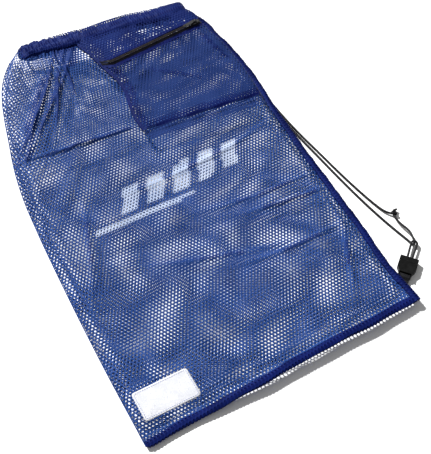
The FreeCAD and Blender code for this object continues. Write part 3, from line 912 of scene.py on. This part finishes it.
def tube_core(name, place, length, material, sides=20, step=2.0, grow=-0.5, closed=False):
    """The cloth inside a soft tube, a little under its surface."""
    count = int(length / step)
    s = np.linspace(0, length, count, endpoint=not closed)
    turns = np.linspace(0, 1, sides, endpoint=False)
    points = place(np.repeat(s, sides), np.tile(turns, count), grow)
    faces = grid_faces(count, sides, closed=True, joined=closed)
    if not closed:
        faces = [faces, ring_caps(count, sides)]
    return mesh_object(name, points, faces, material)


def tube_net(name, place, length, round_mm, material, fullness=1.0, turn=-1.8, hole=0.5):
    """Netting round a soft tube, with more cloth than length where it is gathered."""
    area = (0.2, 0, length * fullness - 0.2, round_mm)
    return net(name, lambda x, y: place(x / fullness, y / round_mm), area, turn, material,
               hole=hole)


def hem():
    x = np.linspace(-213, 209, 160)
    y = 6.2 + 0.7 * np.sin(x / 31) + 0.5 * np.sin(x / 13 + 1)
    ends = np.sqrt(np.clip(1 - (np.abs(x + 2) / 211.5) ** 60, 0.05, 1))
    place, length = soft_tube(xyz(x, y, smooth_through(HEM_LINE, x)), (0, 1, 0), (0, 0, 1),
                              5.8 * ends + 0.3 * np.sin(x / 9),
                              2.3 * ends + 0.25 * np.sin(x / 7))
    core = tube_core("hem_core", place, length, HEM)
    cover = tube_net("hem_net", place, length, HEM_ROUND, HEM_NET, hole=0.46)
    stand_in("hem", "bottom_hem", core, cover)


def seam_line(y):
    return smooth_through(RIGHT_SEAM, y) + 5.0


def side_seam():
    y = np.linspace(1, 636, 260)
    x = seam_line(y) + 0.4 * np.sin(y / 17)
    hem_end = 1 - step_up(y, 5, 60)
    shoulder = step_up(y, *SHOULDER)
    z = (8.2 + 2.6 * hem_end + 1.6 * step_up(y, 400, 600) + SHOULDER_RISE * shoulder
         + 0.4 * np.sin(y / 23))
    x -= 8.0 * shoulder
    line = xyz(x, y, z)
    tangent, across, up = frames_along(line)
    across *= np.sign(across[:, :1])
    up = np.cross(across, tangent)
    up *= np.sign(up[:, 2:])
    width = (4.9 + 0.35 * np.sin(y / 6.1) + 0.25 * np.sin(y / 2.9)) * (1 - 0.6 * shoulder)
    place, length = soft_tube(line, across, up, width, 2.2)
    core = tube_core("seam_core", place, length, HEM)
    cover = tube_net("seam_net", place, length, SEAM_ROUND, HEM_NET, turn=58, hole=0.44)
    s = np.arange(1.0, length - 1, 0.45)
    swing = (s / 3.4) % 1
    turn = 0.5 * (1 - np.cos(2 * np.pi * swing)) * 0.46 - 0.23
    thread = place(s, turn, 0.35)
    thread[:, 2] += 0.15 * np.sin(2 * np.pi * swing)
    stitch = tubes("seam_overlock", [thread], THICK_THREAD, THREAD)
    stand_in("hem", "side_seam", core, cover, stitch)


def casing():
    """The folded hem round the mouth, which the drawstring runs in, drawn up on its left half."""
    left = (np.array(NEAR_MOUTH[0]) + FAR_MOUTH[0]) / 2
    right = (np.array(NEAR_MOUTH[1]) + FAR_MOUTH[1]) / 2
    run = right - left
    length = float(np.linalg.norm(run))
    run /= length
    far = np.array((-run[1], run[0]))
    corners = [       # (along the mouth, height), once round it
        (length / 2, 29.4), (length * 0.72, 29.8), (length - 30, 29.0), (length - 8, 28.4),
        (length + 1, 22), (length + 1.6, 12), (length - 8, 5.6), (length - 40, 5.2),
        (length * 0.6, 5.2), (length * 0.3, 5.2), (44, 5.2), (19, 5.6), (9, 12), (9.5, 22),
        (18, 28.2), (36, 29.0), (length * 0.25, 28.6),
    ]
    loop = smooth_loop(np.array(corners), 420)
    s, z = loop.T
    front = step_up(z, 8, 26)
    out = 8.5 - 2.0 * step_up(s, 0, 60) - 2.5 * step_up(s, 190, 240)
    back = 13.0 + out - 14.5 * front + 1.2 * np.sin(s / 23)
    plan = left + np.outer(s, run) + np.outer(back, far)
    line = xyz(*plan.T, z)
    line = np.concatenate([line, line[:1]])
    across = np.array((*far, 0.0))
    tangent = round_tangents(line[:-1])
    up = unit(np.cross(np.concatenate([tangent, tangent[:1]]), across))
    s, front = np.append(s, s[0]), np.append(front, front[0])
    drawn = step_up(s, -10, 20) * (1 - step_up(s, 120, 200))
    width = (12.6 + 2.4 * step_up(s, 5, 60) + 2.5 * step_up(s, length - 14, length)
             + 0.9 * np.sin(s / 11) * drawn)
    thick = 4.7 + 0.5 * drawn * front + 0.3 * np.sin(s / 13)

    def ruck(t, turn):
        at = np.interp(t, np.linspace(0, 1, len(s)), s)
        pull = 0.25 + 0.75 * np.interp(at, [-10, 20, 120, 190, 400], [0.6, 1, 1, 0.15, 0.12])
        fold = np.sin(at * 0.92 + 2.2 * np.sin(at / 9) + 3 * np.cos(2 * np.pi * turn))
        return pull * (1.1 * fold + 0.5 * np.sin(at * 2.3 + 5 * turn))

    place, round_length = soft_tube(line, across, up, width, thick, ruck)
    open_rim = step_up(s, 45, 90) * (1 - step_up(s, 215, 260))
    inner, _ = soft_tube(line - across * (2.4 * open_rim)[:, None], across, up,
                         width - 2.6 * open_rim, thick, ruck)
    core = tube_core("casing_core", inner, round_length, HEM, sides=28, step=0.9, grow=-0.6,
                     closed=True)
    cover = tube_net("casing_net", place, round_length, CASING_ROUND, CASING_NET, fullness=1.3,
                     hole=0.56)
    core.visible_shadow = cover.visible_shadow = False
    stand_in("hem", "mouth_casing", core, cover)
    drawstring(line[:-1])


def drawstring(round_mouth):
    """The cord inside the casing, round the mouth from one of the strap's strands to the other."""
    from_right = np.roll(round_mouth, -np.argmax(round_mouth[:, 0]), axis=0)
    line = np.concatenate([[INNER_STRAND[0]], from_right[8:-8], [OUTER_STRAND[0]]])
    stand_in("cord", "drawstring", braided_tube("drawstring_cord", line, step=1.5))


def smooth_loop(corners, count):
    """A closed quadratic B-spline through the middles of a ring of corners."""
    n = len(corners)
    t = np.linspace(0, n, count, endpoint=False)
    k, f = t.astype(int), (t % 1)[:, None]
    a, b, c = corners[(k - 1) % n], corners[k % n], corners[(k + 1) % n]
    return 0.5 * (1 - f) ** 2 * a + (0.5 + f * (1 - f)) * b + 0.5 * f**2 * c


# ---- the pocket
def on_pocket(u, y, lift=0.0):
    """The pocket's face, which turns down over the bag's right side. u is x before it turns."""
    edge = smooth_through(RIGHT_SEAM, y) + 1.0
    turn_at = edge - 12.0
    past = np.clip(u - turn_at, 0, 26)
    bend = step_up(past, 0, 9)
    x = np.minimum(u, turn_at) + past * (1 - 0.52 * bend)
    rise = 1.6 * step_up(y, zip_line(u) + 4, near_casing(u))
    soft = 0.5 * np.sin(u / 19 + y / 31) + 0.4 * np.sin(y / 14 - u / 37)
    z = POCKET_Z + soft + rise + ridges(POCKET_CREASES, u, y, 0.0)
    low = np.maximum(1 - step_up(y, pocket_line(u) - 7, pocket_line(u) + 6),
                     0.7 - 0.7 * step_up(u, pocket_side(y), pocket_side(y) + 14))
    z += (FLAP_Z - z) * low - past * 0.86 * bend + lift
    return xyz(x, y, np.maximum(z, 9.0))


def slab(name, top, thick, faces, edge, material):
    """A closed flat piece, from its upper side's points and faces and the points round it."""
    count, following = len(top), np.roll(edge, -1)
    walls = np.stack([edge, edge + count, following + count, following], -1)
    faces = [np.concatenate([side, side[:, ::-1] + count]) for side in faces]
    faces[0] = np.concatenate([faces[0], walls])
    return mesh_object(name, np.concatenate([top, top - (0, 0, thick)]), faces, material)


def strip(name, top, shape, material, thick=0.9):
    """A closed flat strip of cloth, from the points of its upper side in rows and columns."""
    rows, columns = shape
    edge = np.concatenate([np.arange(columns), np.arange(1, rows) * columns + columns - 1,
                           (rows - 1) * columns + np.arange(columns - 2, -1, -1),
                           np.arange(rows - 2, 0, -1) * columns])
    return slab(name, top, thick, [grid_faces(rows, columns)], edge, material)


def band(name, x, y, lift):
    """A strip under the pocket's net, from grids of places."""
    piece = strip(name, on_pocket(x.ravel(), y.ravel(), lift), x.shape, HEM)
    return piece


def zip_gap(u):
    """From the zip's centre line to the cloth on either side of it."""
    return 1.2 + 5.2 * step_up(u, 4, 24)


def below_zip(u):
    return zip_line(np.minimum(u, 194)) - zip_gap(u)


def above_zip(u):
    return zip_line(u) + zip_gap(u)


def at_seam(u):
    return pocket_line(u) + 0.4


def at_flap(u):
    return pocket_line(u) - FLAP


def in_casing(u):
    return near_casing(u) + 6


def doubled(u, y):
    """1 where the pocket's net is navy: its bound edges, and its creases as painted shade."""
    edge = (y > pocket_line(u)) & ((u < pocket_side(y) + 16) | (y < pocket_line(u) + 13))
    return 1 * (edge | (y > below_zip(u) - 7) | (ridges(POCKET_CREASES, u, y, 0.0) > 0.9))


def pocket_layer(name, low, high, rows, turn, lift, outward, hole, over, tall):
    """A net of the pocket, or of the facing above the zip, cut off straight at low and high.

    rows are the y it is knitted between, over is how far it reaches past the side seam, and
    tall is not used.
    """
    on_face = name.startswith("pocket")
    thin, tight = 0.22 * (not on_face), 0.18 * (name == "pocket_net")
    wide, right = (0.212, 222) if on_face else (0.190, 212)

    def place(u, y):
        return on_pocket(np.maximum(u, pocket_side(y)), np.clip(y, low(u), high(u)), lift)

    def keep(u, y):
        return ((y > low(u) - 2) & (y < high(u) + 2) & (u > pocket_side(y) - 2)
                & (u < seam_line(y) + over))

    def holes(u, y):
        return (hole + thin * patch(u, y, (98, 621, 148, 634), 9)
                - tight * (y < pocket_line(u)) * (1 - 0.8 * step_up(u, 40, 110)))

    # the navy cells along the pocket's creases are painted shade
    piece = net(name, place, (-14, rows[0], right, rows[1]), turn,
                NET_POCKET_SHADED if on_face else CASING_NET, outward=outward, hole=holes, keep=keep,
                kinds=doubled if on_face else None, others=(HEM_NET,))
    piece.visible_shadow = False
    stand_in("mesh", "pocket_panel" if on_face else "pocket_facing", piece)


# name, low, high, rows, turn, lift, outward, hole, over and tall of each net of the pocket
LAYERS = (
    ("pocket_net", at_flap, below_zip, (372, 610), -2.6, 0.0, 1.0, 0.67, 10, 0.168),
    ("pocket_lining", at_seam, below_zip, (395, 610), -2.2, -1.7, -1.0, 0.69, 8, 0.150),
    ("facing_net", above_zip, in_casing, (575, 665), -1.2, 0.0, 1.0, 0.58, 5, 0.044),
    ("facing_lining", above_zip, in_casing, (575, 665), 2.4, -1.5, -1.0, 0.62, 3, 0.044),
)


def pocket():
    for layer in LAYERS:
        pocket_layer(*layer)
    t, side = np.linspace(0, 1, 140)[:, None], np.linspace(0, 1, 7)[None]
    y = pocket_line(POCKET_LEFT) + t * (near_casing(0.0) + 4 - POCKET_BOTTOM) + 0 * side
    left = band("pocket_left_band", pocket_side(y) + 5.0 * side, y, -0.7)
    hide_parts("pocket_left_seam")
    x = pocket_side(POCKET_BOTTOM) + t * 208 + 0 * side
    bottom = band("pocket_bottom_band", x, pocket_line(x) + 4.0 * side, -0.7)
    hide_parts("pocket_bottom_seam")
    x = pocket_side(590) + 3 + t * 188 + 0 * side
    for name, side_of in (("lower", -1), ("upper", 1)):
        y = zip_line(x) + side_of * (zip_gap(x) - 0.4 + 6.0 * side)
        band(f"zip_fold_{name}", x, y, -0.55)


# ---- the zip
def on_zip(points):
    """From (x, across from the centre line, z) on a straight zip to the same place on this one."""
    p = np.asarray(points, float).copy()
    dx, dy = p[..., 0] - ZIP_RIGHT, p[..., 1].copy()
    p[..., 0] = ZIP_RIGHT + dx * math.cos(ZIP_TURN) - dy * math.sin(ZIP_TURN)
    p[..., 1] = ZIP_Y + dx * math.sin(ZIP_TURN) + dy * math.cos(ZIP_TURN) + zip_bend(p[..., 0])
    p[..., 2] -= 3.4 * (1 - step_up(p[..., 0], 6, 24))
    return p


TAPE_Z, COIL_Z = 33.1, 34.2
COIL_PITCH, COIL_TURNS, COIL_WIRE = 1.32, 125, 0.34
TAPE_TURN = 188        # where the tapes turn down over the bag's right side


def zip_tapes():
    t, v = np.linspace(0, 1, 170)[:, None], np.linspace(0, 1, 11)[None]
    x = 9 + t * 200 + 0 * v
    past = np.clip(x - TAPE_TURN, 0, 30)
    fall = step_up(past, 0, 8)
    for name, side in (("lower", -1), ("upper", 1)):
        z = TAPE_Z - 2.3 * step_up(v, 0.30, 0.55) + 0.1 * np.sin(x / 9) - past * 0.85 * fall
        bent = np.where(x > TAPE_TURN, TAPE_TURN + past * (1 - 0.5 * fall), x)
        reach = 0.55 + v * (11.2 + 0.25 * np.sin(x / 5))
        top = on_zip(xyz(bent, side * reach, z)).reshape(-1, 3)
        tape = strip(f"zip_tape_{name}_woven", top, x.shape, TAPE, 0.5)
        stand_in("zip_tape", f"zip_tape_{name}", tape)
        rows, q = [], np.linspace(0, 1, 5)
        for start in np.arange(34.0, 186.0, 3.1):
            arc = POCKET_Z + 0.9 + 0.3 * np.sin(np.pi * q)
            rows.append(on_zip(xyz(start + q * 2.2, side * 6.8, arc)))
        tubes(f"zip_stitch_{name}", rows, THIN_THREAD, THREAD)


def zip_coils():
    """Two spirals of nylon, each turn hooked between two of the other's."""
    t = np.linspace(0, COIL_TURNS, COIL_TURNS * 12)
    x = 21.2 + COIL_PITCH * t
    for name, side in (("lower", -1), ("upper", 1)):
        angle = 2 * np.pi * t + (0 if side < 0 else np.pi)
        across = side * (1.45 - 1.25 * np.cos(angle))
        z = COIL_Z + 0.62 * np.sin(angle)
        line = on_zip(xyz(x, across, z))
        turns = tubes(f"zip_coil_{name}_turns", [line], COIL_WIRE, COIL)
        stand_in("zip_coil", f"zip_coil_{name}", turns)
        rib = on_zip(xyz(np.linspace(20.5, 187, 60), side * 2.5, TAPE_Z + 0.45))
        cord = tubes(f"zip_coil_{name}_cord", [rib], THICK_THREAD, TAPE)


def zip_end():
    """The wire staple that closes the zip's left end."""
    q = np.linspace(-1, 1, 13)
    arch = COIL_Z - 0.9 + 1.9 * (1 - q**4)
    wires = [on_zip(xyz(at, 2.9 * q, arch)) for at in (18.6, 20.0)]
    staple = tubes("zip_end_staple", wires, 0.62, ZIP_METAL, sides=8)
    stand_in("zip_metal", "zip_stop_left", staple)


# ---- the label
def rounded_box(x0, y0, x1, y1, r, step):
    """Points round a box with round corners, evenly spaced."""
    corners = [((x1 - r, y1 - r), 0), ((x0 + r, y1 - r), 90),
               ((x0 + r, y0 + r), 180), ((x1 - r, y0 + r), 270)]
    out = []
    for (cx, cy), start in corners:
        for a in np.radians(np.linspace(start, start + 90, 7)):
            out.append((cx + r * math.cos(a), cy + r * math.sin(a), 0))
    line, _ = evenly(np.array(out + out[:1]), step)
    return line[:-1, :2]


def skewed(plan, middle):
    """Places on the label, its long sides turned a little and its short sides as they were."""
    return plan + np.outer(plan[:, 0] - middle[0], (0, math.tan(LABEL_TURN)))


def label_z(x, y):
    uneven = 0.35 * np.sin((x + 160) / 14) + 0.25 * np.sin((y - 40) / 9 + x / 40)
    return 16.05 + uneven - 0.5 * step_up(40 - y, 0, 12)


def name_label():
    x0, y0, width, length = LABEL
    x1, y1 = x0 + width, y0 + length
    rim = rounded_box(x0, y0, x1, y1, 4.0, 1.6)
    middle = np.array(((x0 + x1) / 2, (y0 + y1) / 2))
    inwards = [middle + (rim - middle) * f for f in np.linspace(1, 0.04, 16)]
    plan = skewed(np.concatenate(inwards), middle)
    count, sides = len(inwards), len(rim)
    top = xyz(*plan.T, label_z(*plan.T))
    top[:sides, 2] -= 0.12
    faces = [grid_faces(count, sides, closed=True), ring_caps(count, sides)[1:]]
    piece = slab("label_patch", top, 0.55, faces, np.arange(sides), LABEL_CLOTH)
    piece.visible_shadow = False        # it is sewn flat to the net
    stand_in("label", "name_label", piece)
    inner = skewed(rounded_box(x0 + 2.6, y0 + 2.6, x1 - 2.6, y1 - 2.6, 2.6, 0.55), middle)
    threads = []
    for start in range(0, len(inner) - 5, 6):
        x, y = inner[start:start + 5].T
        lift = 0.16 * np.sin(np.linspace(0, np.pi, len(x)))
        threads.append(xyz(x, y, label_z(x, y) + lift))
    tubes("label_stitches", threads, THIN_THREAD, STITCH)


body_nets()
fold_edge()
hem()
side_seam()
casing()
pocket()
zip_tapes()
zip_coils()
zip_end()
name_label()


# ---- CAD pieces that stay
def dress(stands, material):
    for name in stands:
        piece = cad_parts[name]
        piece.data.materials.clear()
        piece.data.materials.append(material)


dress(("zip_slider", "zip_pull", "zip_stop_right"), ZIP_METAL)
dress(("buckle_socket", "buckle_plug"), PLASTIC)
dress(("corner_tab",), WEBBING)
dress(("tab_bartack",), BRAID)


# ---- floor and light
FLOOR_HALF, FLOOR_Z = 40.0, -0.0004        # metres
FLOOR_WHITE = 0.93
SKY = 0.30
SUN, SUN_ANGLE = 6.6, math.radians(5.5)
SUN_FROM = (-0.30, 1.0, 0.98)


def floor():
    data = bpy.data.meshes.new("floor")
    corners = [(x * FLOOR_HALF, y * FLOOR_HALF, FLOOR_Z)
               for x, y in ((-1, -1), (1, -1), (1, 1), (-1, 1))]
    data.from_pydata(corners, [], [(0, 1, 2, 3)])
    data.materials.append(shader("floor_white", (FLOOR_WHITE,) * 3, 0.9, Specular_IOR_Level=0.1))
    plane = bpy.data.objects.new("floor", data)
    bpy.context.collection.objects.link(plane)


def lights():
    world = bpy.data.worlds.new("studio")
    bpy.context.scene.world = world
    world.use_nodes = True
    background = world.node_tree.nodes["Background"]
    background.inputs["Color"].default_value = (1, 1, 1, 1)
    background.inputs["Strength"].default_value = SKY
    data = bpy.data.lights.new("key", "SUN")
    data.energy, data.angle = SUN, SUN_ANGLE
    key = bpy.data.objects.new("key", data)
    bpy.context.collection.objects.link(key)
    key.rotation_euler = Vector(SUN_FROM).to_track_quat("Z", "Y").to_euler()
    view = bpy.context.scene.view_settings
    view.view_transform, view.look = "Standard", "None"


floor()
lights()
